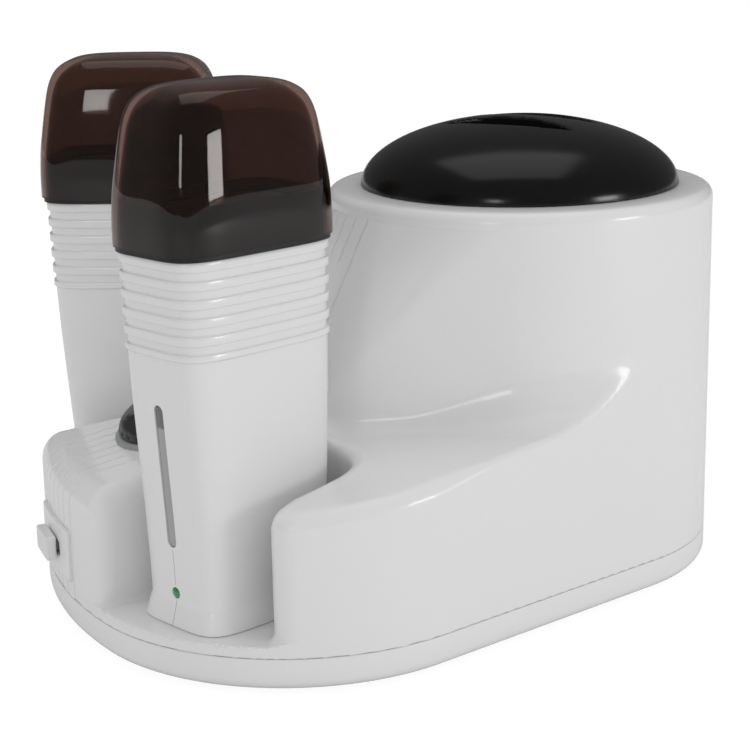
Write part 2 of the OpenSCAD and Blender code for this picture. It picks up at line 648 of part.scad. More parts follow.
module grip_outer() {
  taper(dock_z + 0.05, waist_a + 1.7, waist_b + 1.4, dock_z + 8, waist_a, waist_b);
  taper(dock_z + 8 - e, waist_a, waist_b, rib_z, grip_a - 1.1, grip_b - 0.3);
  prism(rib_z - 1.4, shell_top, grip_a, grip_b);
}
module grip_inner() {
  prism(dock_z - 1, plug_z, waist_a - shell_t, waist_b - shell_t);
  taper(plug_z - e, waist_a - shell_t, waist_b - shell_t, rib_z + 2, inner_a - 0.6, inner_b);
  prism(rib_z + 2 - e, shell_top + 1, inner_a, inner_b);
}
module grip_shell(side) difference() {
  union() {
    difference() { grip_outer(); grip_inner(); }
    // posts for the plug's screws, braced to the side walls
    for (s = [-1, 1]) translate([s*20, 0, plug_z + 0.02]) {
      cylinder(r = 3, h = 9, $fn = 48);
      translate([-1, -waist_b + shell_t + 0.4, 0]) cube([2, 2*(waist_b - shell_t - 0.4), 9]);
    }
  }
  for (s = [-1, 1]) translate([s*20, 0, plug_z - 1]) cylinder(r = 1.32, h = 9.5, $fn = 32);
  for (i = [0:rib_n - 1]) translate([0, 0, rib_z + 1.6 + i*rib_pitch]) difference() {
    prism(0, rib_w, grip_a + 1, grip_b + 1);
    prism(-1, rib_w + 1, grip_a - rib_d, grip_b - rib_d);
  }
  // the other half, level window, lamp hole
  translate([-60, side > 0 ? -60 : -0.02, 0]) cube([120, 60.02, 200]);
  window_hole(0.02);
  translate([0, 0, led_z]) rotate([0, 90, 0]) cylinder(r = led_r + 0.02, h = 60, $fn = 48);
}
module window_hole(g = 0) {
  w = window_w/2 + g;
  translate([waist_a - 5, 0, window_z + w - g]) rotate([0, 90, 0]) {
    cylinder(r = w, h = 30, $fn = 48);
    translate([-(window_l - 2*w + 2*g), 0, 0]) cylinder(r = w, h = 30, $fn = 48);
  }
  translate([waist_a - 5, -w, window_z + w - g]) cube([30, 2*w, window_l - 2*w + 2*g]);
}
module window_lens() intersection() {
  window_hole();
  difference() {
    taper(dock_z + 8, waist_a - 0.8, waist_b, rib_z, grip_a - 1.9, grip_b);
    taper(dock_z + 8, waist_a - 1.8, waist_b, rib_z, grip_a - 2.9, grip_b);
  }
}
module lamp() {
  x0 = waist_a - 0.8 + (grip_a - 1.1 - waist_a)*(led_z - dock_z - 8)/(rib_z - dock_z - 8);
  translate([x0 - 5, 0, led_z]) rotate([0, 90, 0]) rotate_extrude($fn = 48)
    polygon([[0, 0], [led_r, 0], [led_r, 4.6], [led_r*0.8, 5.3], [led_r*0.4, 5.7], [0, 5.8]]);
}
module neck() difference() {
  union() {
    prism(shell_top + 0.02, cap_z - 0.03, cap_a - 0.9, cap_a - 12.4 - 0.9);
    prism(shell_top + 1, shell_top + neck_h, cap_a - 2.9, cap_a - 12.4 - 2.9);
    prism(shell_top - 5, shell_top + 0.5, inner_a - 0.04, inner_b - 0.04);
  }
  prism(shell_top - 6, shell_top + neck_h - 3, cham_a + 0.03, cham_b + 0.03);
  taper(shell_top + neck_h - 3.01, cham_a + 0.03, cham_b + 0.03,
    shell_top + neck_h + 0.01, cap_a - 4.6, cap_a - 12.4 - 4.4);
}
module chamber() difference() {
  prism(50, shell_top + neck_h - 4, cham_a, cham_b);
  prism(51, shell_top + neck_h, cham_a - 1, cham_b - 1);
  // view slot behind the level window
  translate([0, -window_w/2, window_z + 6]) cube([50, window_w, window_l - 10]);
}
module heater_plate() translate([0, 0, 46]) {
  translate([-20, -11, 0]) cube([40, 22, 3.98]);
  for (s = [-1, 1]) translate([s*12 - 2, -0.4, -6]) cube([4, 0.8, 6.01]);
}
module plug() difference() {
  prism(plug_z - 6, plug_z, waist_a - shell_t - 0.05, waist_b - shell_t - 0.05);
  for (s = [-1, 1]) translate([s*5.5, 0, plug_z - 8]) cylinder(r = 2.53, h = 10, $fn = 48);
  for (s = [-1, 1]) translate([s*20, 0, plug_z - 8]) cylinder(r = 1.33, h = 10, $fn = 32);
}
module contacts() for (s = [-1, 1]) translate([s*5.5, 0, plug_z - 5])
  rotate_extrude($fn = 48) polygon([[0, 0], [2.5, 0], [2.5, 8], [1.2, 8], [1.2, 12], [0, 12]]);
module grip_screws() for (s = [-1, 1]) translate([s*20, 0, plug_z - 8]) {
  difference() {
    cylinder(r = 2.4, h = 1.95, $fn = 48);
    for (a = [0, 90]) rotate([0, 0, a]) translate([-1.5, -0.3, -1]) cube([3, 0.6, 1.9]);
  }
  cylinder(r = 1.3, h = 9, $fn = 32);
}
cap_prof = [[0, 0], [16, 0.4], [37.4, 3.3], [46, 5.5], [50.4, 7.8], [53.4, 11.2], [55, 16.5],
  [55.6, 24]];
module cap_form(g = 0) hull() for (q = cap_prof) {
  z = q[0] - (q[0] > 0 ? g : 0);
  translate([0, 0, z/55.7*cap_h]) linear_extrude(0.1) polygon(sect(cap_a - q[1] - g,
    cap_a - 12.4 - q[1]*0.92 - (q[1] > 20 ? -8 : 0) - g*0.9, 4.2));
}
module cap() translate([0, 0, cap_z]) difference() {
  cap_form();
  translate([0, 0, -0.05]) cap_form(1.6);
}
module dock_block() difference() {
  union() {
    translate([-10.8, -7.8, dock_z - wall - 0.9]) cube([21.6, 15.6, wall + 0.8]);
    translate([-13, -10, seam_h - 1.5]) cube([26, 20, dock_z - wall - seam_h + 1.48]);
  }
  for (s = [-1, 1]) translate([s*5.5, 0, seam_h - 3]) cylinder(r = 1.75, h = 20, $fn = 48);
}
module dock_pins() for (s = [-1, 1]) translate([s*5.5, 0, seam_h - 6]) {
  cylinder(r = 1.7, h = plug_z - 5.3 - seam_h + 6 - 1.7, $fn = 48);
  translate([0, 0, plug_z - 5.3 - seam_h + 6 - 1.7]) sphere(r = 1.7, $fn = 48);
}

module near() put() at_dock(1) children();
module far() put() at_dock(-1) children();
smoke = [0.2, 0.09, 0.05, 0.6];

module near_dock_block() color(black) near() dock_block();
module near_dock_pins() color(brass_c) near() dock_pins();
module near_shell_left() color(white) near() grip_shell(-1);
module near_shell_right() color(white) near() grip_shell(1);
module near_window() color(grey) near() window_lens();
module near_lamp() color([0.05, 0.5, 0.12]) near() lamp();
module near_neck() color(black) near() neck();
module near_chamber() color(alu) near() chamber();
module near_heater() color(steel) near() heater_plate();
module near_plug() color(black) near() plug();
module near_contacts() color(brass_c) near() contacts();
module near_screws() color(steel) near() grip_screws();
module near_cap() color(smoke) near() cap();
module far_dock_block() color(black) far() dock_block();
module far_dock_pins() color(brass_c) far() dock_pins();
module far_shell_left() color(white) far() grip_shell(-1);
module far_shell_right() color(white) far() grip_shell(1);
module far_window() color(grey) far() window_lens();
module far_lamp() color([0.05, 0.5, 0.12]) far() lamp();
module far_neck() color(black) far() neck();
module far_chamber() color(alu) far() chamber();
module far_heater() color(steel) far() heater_plate();
module far_plug() color(black) far() plug();
module far_contacts() color(brass_c) far() contacts();
module far_screws() color(steel) far() grip_screws();
module far_cap() color(smoke) far() cap();

feet();
base_pan();
pan_screws();
base_housing();
rim_ring();
rim_screws();
heater_well();
band_heater();
thermal_cutout();
wax_pot();
pot_lid();
knob_bezel();
temperature_knob();
thermostat_shaft();
thermostat();
switch_plate();
switch_slider();
switch_body();
power_inlet();
inlet_pins();
control_board();
board_parts();
near_dock_block();
near_dock_pins();
near_shell_left();
near_shell_right();
near_window();
near_lamp();
near_neck();
near_chamber();
near_heater();
near_plug();
near_contacts();
near_screws();
near_cap();
far_dock_block();
far_dock_pins();
far_shell_left();
far_shell_right();
far_window();
far_lamp();
far_neck();
far_chamber();
far_heater();
far_plug();
far_contacts();
far_screws();
far_cap();
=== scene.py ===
"""Roll-on wax heater: a round wax-pot tower with a console and two docks, and two
hand-held roll-ons with clear caps. Sizes in the sections are millimetres from the
wax pot's axis, x towards the pot, z up from the table."""

import math

import bpy
import numpy as np
from mathutils import Matrix, Vector


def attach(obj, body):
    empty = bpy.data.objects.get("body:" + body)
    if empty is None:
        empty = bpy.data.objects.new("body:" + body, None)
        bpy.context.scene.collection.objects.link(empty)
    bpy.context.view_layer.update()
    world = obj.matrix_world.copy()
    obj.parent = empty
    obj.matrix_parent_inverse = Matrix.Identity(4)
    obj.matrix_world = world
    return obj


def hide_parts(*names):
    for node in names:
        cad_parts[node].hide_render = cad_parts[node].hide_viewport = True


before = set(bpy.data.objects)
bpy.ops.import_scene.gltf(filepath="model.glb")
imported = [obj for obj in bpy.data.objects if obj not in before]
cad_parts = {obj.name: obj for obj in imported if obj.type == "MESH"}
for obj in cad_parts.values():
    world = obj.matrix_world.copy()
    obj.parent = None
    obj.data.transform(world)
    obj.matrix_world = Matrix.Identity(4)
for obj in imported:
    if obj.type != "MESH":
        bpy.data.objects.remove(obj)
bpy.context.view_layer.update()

# ---- viewpoint, table and lamps ------------------------------------------------
# The heater stands on a pale table in a white studio, seen from its near front
# corner with a long lens, lit by wide soft lamps to the right, left and above.
view_turn, view_dip, view_roll = (math.radians(a) for a in (-21.26, 14.67, -1.07))
back = Vector((math.sin(view_turn) * math.cos(view_dip), -math.cos(view_turn) * math.cos(view_dip),
               math.sin(view_dip)))
level = Vector((math.cos(view_turn), math.sin(view_turn), 0))
upright = back.cross(level)
right = level * math.cos(view_roll) + upright * math.sin(view_roll)
upward = upright * math.cos(view_roll) - level * math.sin(view_roll)
eye = bpy.data.cameras.new("eye")
eye.lens, eye.sensor_width, eye.sensor_fit = 88.61, 36, "HORIZONTAL"
eye.clip_start, eye.clip_end = 0.02, 30
eye_holder = bpy.data.objects.new("eye", eye)
bpy.context.scene.collection.objects.link(eye_holder)
eye_holder.matrix_world = Matrix(((right.x, upward.x, back.x, -0.2641),
                                  (right.y, upward.y, back.y, -0.6750),
                                  (right.z, upward.z, back.z, 0.2713), (0, 0, 0, 1)))
bpy.context.scene.camera = eye_holder
bpy.context.scene.view_settings.view_transform = "Standard"

studio = bpy.data.worlds.new("studio")
bpy.context.scene.world = studio
studio.use_nodes = True
air = studio.node_tree
sky = air.nodes["Background"]
sky.inputs["Color"].default_value = (1, 1, 1, 1)
rays = air.nodes.new("ShaderNodeLightPath")
seen = air.nodes.new("ShaderNodeMath")
seen.operation = "MAXIMUM"
air.links.new(rays.outputs["Is Camera Ray"], seen.inputs[0])
air.links.new(rays.outputs["Is Transmission Ray"], seen.inputs[1])
strength = air.nodes.new("ShaderNodeMapRange")
strength.inputs["To Max"].default_value = 1.0
dimmer = air.nodes.new("ShaderNodeMapRange")
dimmer.inputs["To Min"].default_value = 0.7
dimmer.inputs["To Max"].default_value = 0.1
air.links.new(rays.outputs["Is Glossy Ray"], dimmer.inputs["Value"])
air.links.new(dimmer.outputs[0], strength.inputs["To Min"])
air.links.new(seen.outputs[0], strength.inputs["Value"])
air.links.new(strength.outputs[0], sky.inputs["Strength"])

table_mat = bpy.data.materials.new("pale_table")
table_mat.use_nodes = True
tt = table_mat.node_tree
tt.nodes["Principled BSDF"].inputs["Base Color"].default_value = (0.86, 0.86, 0.86, 1)
tt.nodes["Principled BSDF"].inputs["Roughness"].default_value = 0.7
tt.nodes["Principled BSDF"].inputs["Specular IOR Level"].default_value = 0.2
paper = tt.nodes.new("ShaderNodeEmission")
paper.inputs["Strength"].default_value = 1.08
table_rays = tt.nodes.new("ShaderNodeLightPath")
share = tt.nodes.new("ShaderNodeMath")
share.operation = "MULTIPLY"
share.inputs[1].default_value = 0.86
blend_in = tt.nodes.new("ShaderNodeMixShader")
tt.links.new(table_rays.outputs["Is Camera Ray"], share.inputs[0])
tt.links.new(share.outputs[0], blend_in.inputs["Fac"])
tt.links.new(tt.nodes["Principled BSDF"].outputs[0], blend_in.inputs[1])
tt.links.new(paper.outputs[0], blend_in.inputs[2])
tt.links.new(blend_in.outputs[0], tt.nodes["Material Output"].inputs["Surface"])
table_mesh = bpy.data.meshes.new("table")
table_mesh.from_pydata([(-4, -4, 0), (4, -4, 0), (4, 4, 0), (-4, 4, 0)], [], [(0, 1, 2, 3)])
table_mesh.materials.append(table_mat)
table = bpy.data.objects.new("table", table_mesh)
bpy.context.scene.collection.objects.link(table)


def lamp(name, place, aim, size, power):
    data = bpy.data.lights.new(name, "AREA")
    data.shape = "RECTANGLE"
    data.size, data.size_y, data.energy = size[0], size[1], power
    holder = bpy.data.objects.new(name, data)
    bpy.context.scene.collection.objects.link(holder)
    holder.location = place
    holder.rotation_euler = (Vector(aim) - Vector(place)).to_track_quat("-Z", "Y").to_euler()
    return holder


lamp("right_softbox", (0.95, -1.15, 0.3), (0.02, 0, 0.06), (0.42, 0.3), 3.0)
lamp("left_softbox", (-0.95, -1.1, 0.5), (0, 0, 0.08), (0.2, 0.24), 0.9)
lamp("top_softbox", (0.1, 0.25, 1.5), (0, 0, 0.1), (1.1, 1.1), 2.2)

# ---- feet and bottom pan --------------------------------------------------------
# Four rubber feet are pressed into a moulded white pan; its lower edge is rounded
# and cooling slots let air in under the wax pot. Five screws hold the pan.
TOWER_R, END_R, CORNER_R, SEAM = 78.0, 198.0, 85.0, 13.5
CORNER_AT = np.array([-109.15, 29.25])


def moulded(name, colour, rough=0.3, shift=0.03, scale=260.0, grain=0.02, spread=0.06, metal=0.0,
            coat=0.0, grain_scale=1500.0):
    """a moulded or rolled surface: faint clouding of its colour and gloss, a fine skin"""
    mat = bpy.data.materials.new(name)
    mat.use_nodes = True
    nodes, links = mat.node_tree.nodes, mat.node_tree.links
    shader = nodes["Principled BSDF"]
    shader.inputs["Metallic"].default_value = metal
    shader.inputs["Coat Weight"].default_value = coat
    shader.inputs["Coat Roughness"].default_value = 0.06
    where = nodes.new("ShaderNodeTexCoord")
    cloud = nodes.new("ShaderNodeTexNoise")
    cloud.inputs["Scale"].default_value = scale
    cloud.inputs["Detail"].default_value = 5
    links.new(where.outputs["Object"], cloud.inputs["Vector"])
    tint = nodes.new("ShaderNodeMix")
    tint.data_type = "RGBA"
    tint.inputs[6].default_value = tuple(max(0, c - shift * (0.3 + c)) for c in colour) + (1,)
    tint.inputs[7].default_value = tuple(min(1, c + shift * 0.3) for c in colour) + (1,)
    links.new(cloud.outputs["Fac"], tint.inputs[0])
    links.new(tint.outputs[2], shader.inputs["Base Color"])
    gloss = nodes.new("ShaderNodeMapRange")
    gloss.inputs["To Min"].default_value = max(0.02, rough - spread)
    gloss.inputs["To Max"].default_value = rough + spread
    links.new(cloud.outputs["Fac"], gloss.inputs["Value"])
    links.new(gloss.outputs[0], shader.inputs["Roughness"])
    fine = nodes.new("ShaderNodeTexNoise")
    fine.inputs["Scale"].default_value = grain_scale
    fine.inputs["Detail"].default_value = 3
    links.new(where.outputs["Object"], fine.inputs["Vector"])
    skin = nodes.new("ShaderNodeBump")
    skin.inputs["Strength"].default_value = grain
    skin.inputs["Distance"].default_value = 0.0004
    links.new(fine.outputs["Fac"], skin.inputs["Height"])
    links.new(skin.outputs[0], shader.inputs["Normal"])
    return mat


def piece(name, points, faces, mat, body, slot, smooth=32, normals=None):
    """a mesh of millimetre points about the wax pot's axis, placed on the heater"""
    mesh = bpy.data.meshes.new(name)
    pts = np.asarray(points, float) * 0.001
    pts[:, 0] += 0.063
    mesh.from_pydata(pts.tolist(), [], faces if isinstance(faces, list) else faces.tolist())
    mesh.materials.append(mat)
    mesh.polygons.foreach_set("use_smooth", [True] * len(mesh.polygons))
    if normals is None:
        mesh.set_sharp_from_angle(angle=math.radians(smooth))
    else:
        mesh.normals_split_custom_set(normals)
    mesh.validate(clean_customdata=False)
    obj = bpy.data.objects.new(name, mesh)
    bpy.context.scene.collection.objects.link(obj)
    if body:
        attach(obj, body)
    return obj


def finish_nodes(mat, *nodes):
    for node in nodes:
        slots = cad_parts[node].data.materials
        slots.clear()
        slots.append(mat)


def lofted(rings, ends="cap"):
    """quads between rings of equal length; capped with fans or closed into a loop"""
    n, m = len(rings[0]), len(rings)
    pts = np.concatenate(rings)
    i = np.arange(n)
    j = (i + 1) % n
    rows = m if ends == "loop" else m - 1
    quads = np.concatenate([np.stack([r * n + i, r * n + j, (r + 1) % m * n + j, (r + 1) % m * n + i], 1)
                            for r in range(rows)]).tolist()
    if ends == "cap":
        pts = np.concatenate([pts, [rings[0].mean(0), rings[-1].mean(0)]])
        quads += [[int(b), int(a), n * m] for a, b in zip(i, j)]
        quads += [[(m - 1) * n + int(a), (m - 1) * n + int(b), n * m + 1] for a, b in zip(i, j)]
    return pts, quads


def plan(ins, z, k=40):
    """the base's outline, drawn in by ins: tower, far corner, front end, near corner"""
    turn = math.radians(71.45)
    lean = math.radians(15)
    spans = [((0, 0), TOWER_R, -turn, turn, 3 * k),
             ((CORNER_AT[0], CORNER_AT[1]), CORNER_R, turn, math.pi - lean, k),
             ((0, 0), END_R, math.pi - lean, math.pi + lean, k),
             ((CORNER_AT[0], -CORNER_AT[1]), CORNER_R, math.pi + lean, 2 * math.pi - turn, k)]
    out = []
    for (cx, cy), r, a0, a1, steps in spans:
        a = np.linspace(a0, a1, steps)[(0 if r == TOWER_R else 1):]
        out.append(np.stack([cx + (r - ins) * np.cos(a), cy + (r - ins) * np.sin(a)], 1))
    xy = np.concatenate(out)
    return np.column_stack([xy, np.full(len(xy), z)])


white = moulded("white_gloss", (0.83, 0.83, 0.83), rough=0.24, shift=0.012, grain=0.012, coat=0.25)
rubber = moulded("foot_rubber", (0.03, 0.03, 0.032), rough=0.7, grain=0.12)
screw_steel = moulded("screw_steel", (0.55, 0.55, 0.56), rough=0.32, metal=1.0, grain=0.05)
pan_rings = [plan(4.2, 1.5)] + [plan(4 * (1 - math.sin(a)), 1.5 + 4 * (1 - math.cos(a)))
                               for a in np.radians([10, 25, 40, 55, 70, 82, 90])]
pan_rings += [plan(0, 13.15), plan(0.06, 13.3), plan(0.2, 13.42), plan(0.5, 13.47), plan(6, 13.48)]
pan = piece("bottom_pan", *lofted(pan_rings), white, None, None)
vent_pitch, vent_half_wide, vent_half_long, vent_deep = 8, 1.5, 20, 7
boss_hole_r, boss_hole_deep = 3.8, 6.5
boss_out, boss_apart, boss_along = 67.2, 49, 80
side = math.radians(288.55)
boss_x = boss_out * math.cos(side) + boss_along * math.sin(side)
boss_y = boss_out * math.sin(side) - boss_along * math.cos(side)
boss_at = [(boss_out, boss_apart), (boss_out, -boss_apart), (boss_x, boss_y), (boss_x, -boss_y), (-166, 0)]


def box_quads(n):
    """the faces of a box whose corners start at index n, four below and four above"""
    sides = ((3, 2, 1, 0), (4, 5, 6, 7), (0, 1, 5, 4), (1, 2, 6, 5), (2, 3, 7, 6), (3, 0, 4, 7))
    return [[n + a for a in q] for q in sides]


pts, quads = [], []
for i in range(-4, 5):
    quads += box_quads(len(pts))
    x0, x1 = i * vent_pitch - vent_half_wide, i * vent_pitch + vent_half_wide
    y0, y1 = -vent_half_long, vent_half_long
    pts += [(x, y, z) for z in (0, vent_deep) for x, y in ((x0, y0), (x1, y0), (x1, y1), (x0, y1))]
for cx, cy in boss_at:
    a = np.linspace(0, 2 * math.pi, 41)[:-1]
    holes = [np.column_stack([cx + boss_hole_r * np.cos(a), cy + boss_hole_r * np.sin(a), np.full(40, z)])
             for z in (0, boss_hole_deep)]
    p, q = lofted(holes)
    n = len(pts)
    pts += [tuple(v) for v in p]
    quads += [[n + v for v in f] for f in q]
pan_cutter = piece("pan_cutter", pts, quads, white, None, None)


def carve(obj, cutter):
    """cuts one mesh out of another and keeps the result as a plain mesh"""
    cut = obj.modifiers.new("cut", "BOOLEAN")
    cut.operation, cut.solver, cut.object = "DIFFERENCE", "EXACT", cutter
    shaped = bpy.data.meshes.new_from_object(obj.evaluated_get(bpy.context.evaluated_depsgraph_get()))
    obj.modifiers.clear()
    old = obj.data
    obj.data = shaped
    shaped.name = old.name
    shaped.polygons.foreach_set("use_smooth", [True] * len(shaped.polygons))
    shaped.set_sharp_from_angle(angle=math.radians(32))
    bpy.data.objects.remove(cutter)
    return obj


carve(pan, pan_cutter)
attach(pan, "base")
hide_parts("base_pan")
finish_nodes(rubber, "feet")
finish_nodes(screw_steel, "pan_screws")

# ---- housing --------------------------------------------------------------------
# One white gloss moulding: the tower with its swept, grooved front, the side
# shelves, the grooved console and the two open docks, all with rounded edges.
PITCH = 7.4
sin15, cos15 = math.sin(math.radians(15)), math.cos(math.radians(15))
dock_turn = math.radians(22.9)


def meet(a, b, r):
    """both of two solids, their common edge rounded"""
    return np.minimum(np.maximum(a, b), -r) + np.hypot(np.maximum(a + r, 0), np.maximum(b + r, 0))


def join(a, b, r):
    """either of two solids, with a fillet where they join"""
    return np.maximum(np.minimum(a, b), r) - np.hypot(np.maximum(r - a, 0), np.maximum(r - b, 0))


def ease(v, a, b):
    t = np.clip((v - a) / (b - a), 0, 1)
    return t * t * (3 - 2 * t)


def arc_reach(x, y, cx, cy, r, a0, a1):
    """how far a point stands out of a round part whose outward directions run a0 to a1 from -x"""
    turn = np.arctan2(y - cy, -(x - cx))
    off = np.maximum(np.maximum(a0 - turn, turn - a1), 0)
    return np.hypot(x - cx, y - cy) * np.cos(off) - r


def housing(x, y, z):
    y = np.abs(y)
    p = np.hypot(x, y)
    fan = np.minimum(np.hypot(x - CORNER_AT[0], y - CORNER_AT[1]) - CORNER_R,
                     np.maximum(p - END_R, x * sin15 + y * cos15))
    along = 0.318 * y - 0.948 * x
    fan = np.minimum(fan, np.maximum(0.318 * x + 0.948 * y - TOWER_R, np.maximum(-along, along - 112.8)))
    fan = np.minimum(fan, p - TOWER_R)
    # the tower and its front, which leans out and down
    t = np.clip((150 - z) / 76, 0, 1)
    under = 0.05 * ease(z, 120, 148)
    c1, c2 = math.radians(21.67), math.radians(60.65)
    tower = np.maximum(arc_reach(x, y, -35.4 * t, 0, TOWER_R, -c1, c1),
                       arc_reach(x, y, 0, 0, TOWER_R - under, c2, math.pi))
    tower = np.maximum(tower, arc_reach(x, y, -107.9 * t, 28.8 * t, TOWER_R * (1 - t), c1, c2))
    # one height for shelves and console
    shelf = 79.5 + 0.1 * x
    top = shelf + (62 + 0.2 * (x + 191.5) - shelf) * (1 - ease(y, 38, 95)) * ease(-x, 92, 118)
    # dock: u runs outwards through the roll-on, v to the outer side
    u = -math.cos(dock_turn) * x + math.sin(dock_turn) * y - 156.2
    v = math.sin(dock_turn) * x + math.cos(dock_turn) * y
    outer = v - np.interp(u, [-20, 0, 22, 80], [30, 30, 36, 48])
    inner = np.interp(u, [-20, 12, 38, 80], [-27.5, -27.5, -31.5, -43.5]) - v
    dock = np.maximum(meet(-42 - u, outer, 23), meet(-42 - u, inner, 23))
    mouth = meet(fan, -dock, np.where(v > 0, 15.0, 8.0))
    edge = 6.0 - 4.0 * ease(x, -85, -55) + 3.0 * (1 - ease(y, 40, 60)) * ease(-x, 140, 165)
    upper = meet(join(tower, z - top, 7.0 + 12.0 * ease(x, -75, -28)), mouth, edge)
    lip = 2.5 + 4.0 * (1 - ease(v, -14, 0)) * ease(u, -30, 5)
    upper = meet(upper, -dock, lip)
    form = np.minimum(np.maximum(fan, join(z - 18, upper, 3.0)), tower)
    form = meet(form, SEAM + 0.05 - z, 0.15)
    form = np.maximum(form, z - 149.95)
    # grooves: up the console's end and over its top, and short ones down the tower's front
    for j in range(4):
        depth = 0.7 * (1 - ease(np.abs(y - j * PITCH), 0.25, 0.6))
        console = (1 - ease(x, *((-113.5, -111.5) if j == 3 else (-151, -149)))) * (z < 88)
        tall = 150 - (70 if j == 3 else 13 + 2 * j)
        stub = ease(z, tall - 1.5, tall + 0.5) * (x < -55)
        form = form + depth * np.maximum(console, stub) * (form > -3)
    # bore for the well, recesses for the inlet, vents, switch and dock contacts
    form = np.maximum(form, -np.maximum(p - 70.0, 58 - z))
    form = np.maximum(form, -np.maximum(np.maximum(76.2 - x, y - 14.1), np.abs(z - 31) - 9.1))
    form = np.maximum(form, -np.maximum(np.maximum(x + 186, y - 10.9), np.abs(z - 30.5) - 3.3))
    form = np.maximum(form, -np.maximum(np.maximum(np.abs(u) - 10.9, np.abs(v) - 7.9), 14.6 - z))
    for a in (16, 24, 32):
        ca, sa = math.cos(math.radians(a)), math.sin(math.radians(a))
        form = np.maximum(form, -np.maximum(np.maximum(np.abs(y * ca - x * sa) - 1.5, 73 - x * ca - y * sa),
                                            np.abs(z - 31) - 11))
    return form


def skin_of(form, xs, ys, zs, steps=4, turn=38, mirror=False):
    """a closed quad mesh over the surface where form is zero, with the form's own normals"""
    xs, ys, zs = (np.asarray(a, np.float32) for a in (xs, ys, zs))
    if mirror:
        half = form(xs[:, None, None], ys[None, ys >= -1e-6, None], zs[None, None, :])
        val = np.concatenate([half[:, :0:-1], half], 1)
    else:
        val = form(xs[:, None, None], ys[None, :, None], zs[None, None, :])
    val = np.where(val == 0, 1e-6, val).astype(np.float32)
    val = np.broadcast_to(val, (len(xs), len(ys), len(zs)))
    solid = val < 0
    count = sum(solid[a:len(xs) - 1 + a, b:len(ys) - 1 + b, c:len(zs) - 1 + c].astype(np.int8)
                for a in (0, 1) for b in (0, 1) for c in (0, 1))
    cells = np.argwhere((count > 0) & (count < 8))
    index = np.full(count.shape, -1, np.int64)
    index[tuple(cells.T)] = np.arange(len(cells))
    total = np.zeros((len(cells), 3))
    hits = np.zeros(len(cells))
    axes = (xs, ys, zs)
    for axis in range(3):
        others = [a for a in range(3) if a != axis]
        for s in (0, 1):
            for t in (0, 1):
                lo = cells.copy()
                lo[:, others[0]] += s
                lo[:, others[1]] += t
                hi = lo.copy()
                hi[:, axis] += 1
                a, b = val[tuple(lo.T)], val[tuple(hi.T)]
                cross = (a < 0) != (b < 0)
                w = np.where(cross, a / np.where(cross, a - b, 1), 0)
                spot = np.stack([axes[k][lo[:, k]] for k in range(3)], 1).astype(float)
                spot[:, axis] += w * (axes[axis][hi[:, axis]] - axes[axis][lo[:, axis]])
                total += np.where(cross[:, None], spot, 0)
                hits += cross
    pts = total / hits[:, None]
    low = np.stack([axes[k][cells[:, k]] for k in range(3)], 1)
    high = np.stack([axes[k][cells[:, k] + 1] for k in range(3)], 1)

    def slope(q, h=0.03):
        d = [(form(*(q + h * np.eye(3)[k]).T) - form(*(q - h * np.eye(3)[k]).T)) / (2 * h) for k in range(3)]
        return np.stack(d, 1)

    for _ in range(steps):
        g = slope(pts)
        pts = pts - (form(*pts.T) / np.maximum((g * g).sum(1), 0.2))[:, None] * g
        pts = np.clip(pts, low - 0.1 * (high - low), high + 0.1 * (high - low))
    faces = []
    for axis in range(3):
        b, c = [(1, 2), (2, 0), (0, 1)][axis]
        lo = [slice(None)] * 3
        hi = [slice(None)] * 3
        lo[axis], hi[axis] = slice(None, -1), slice(1, None)
        for rising in (True, False):
            s0, s1 = solid[tuple(lo)], solid[tuple(hi)]
            at = np.argwhere(s0 & ~s1 if rising else ~s0 & s1)
            keep = (at[:, b] > 0) & (at[:, c] > 0) & (at[:, b] < index.shape[b]) & (at[:, c] < index.shape[c])
            at = at[keep]
            corners = []
            for db, dc in ((-1, -1), (0, -1), (0, 0), (-1, 0)):
                q = at.copy()
                q[:, b] += db
                q[:, c] += dc
                corners.append(index[tuple(q.T)])
            f = np.stack(corners, 1)
            faces.append(f if rising else f[:, ::-1])
    faces = np.concatenate(faces)
    g = slope(pts)
    g /= np.maximum(np.linalg.norm(g, axis=1), 1e-9)[:, None]
    flat = np.cross(pts[faces[:, 2]] - pts[faces[:, 0]], pts[faces[:, 3]] - pts[faces[:, 1]])
    flat /= np.maximum(np.linalg.norm(flat, axis=1), 1e-12)[:, None]
    soft = g[faces]
    agree = (soft * flat[:, None]).sum(2) > math.cos(math.radians(turn))
    normals = np.where(agree[..., None], soft, flat[:, None]).reshape(-1, 3)
    return pts, faces, normals


step = 1.8
lanes = np.arange(0, 118.5, step)
for j in range(4):
    near_lines = j * PITCH + np.array([-0.8, -0.6, -0.43, -0.25, 0, 0.25, 0.43, 0.6, 0.8])
    lanes = lanes[np.abs(lanes - j * PITCH) > 1.2]
    lanes = np.concatenate([lanes, near_lines[near_lines > -0.01]])
lanes = np.unique(np.round(lanes, 3))
lanes = np.concatenate([-lanes[:0:-1], lanes])
levels = np.concatenate([[12.9, 13.35, 13.75, 14.1, 15.2, 16.4, 17.2, 18.2, 19.8], np.arange(22, 54, 3.2),
                         np.arange(55, 84, step + 0.1), np.arange(86, 112, 3.2), np.arange(112, 148, 4.5),
                         [148.6, 149.3, 149.8, 150.3, 151.5]])
pts, faces, normals = skin_of(housing, np.arange(-200.5, 80.5, step), lanes, levels, mirror=True)
shell = piece("housing", pts, faces, white, "base", "housing_white", normals=normals.tolist())
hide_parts("base_housing")

# ---- rim ring, well and wax pot -------------------------------------------------
# A white ring with a rounded outer edge closes the tower; three screws hold the
# aluminium well under it, which has a band heater and a cut-out below. The plain
# aluminium wax pot drops in by its rim.


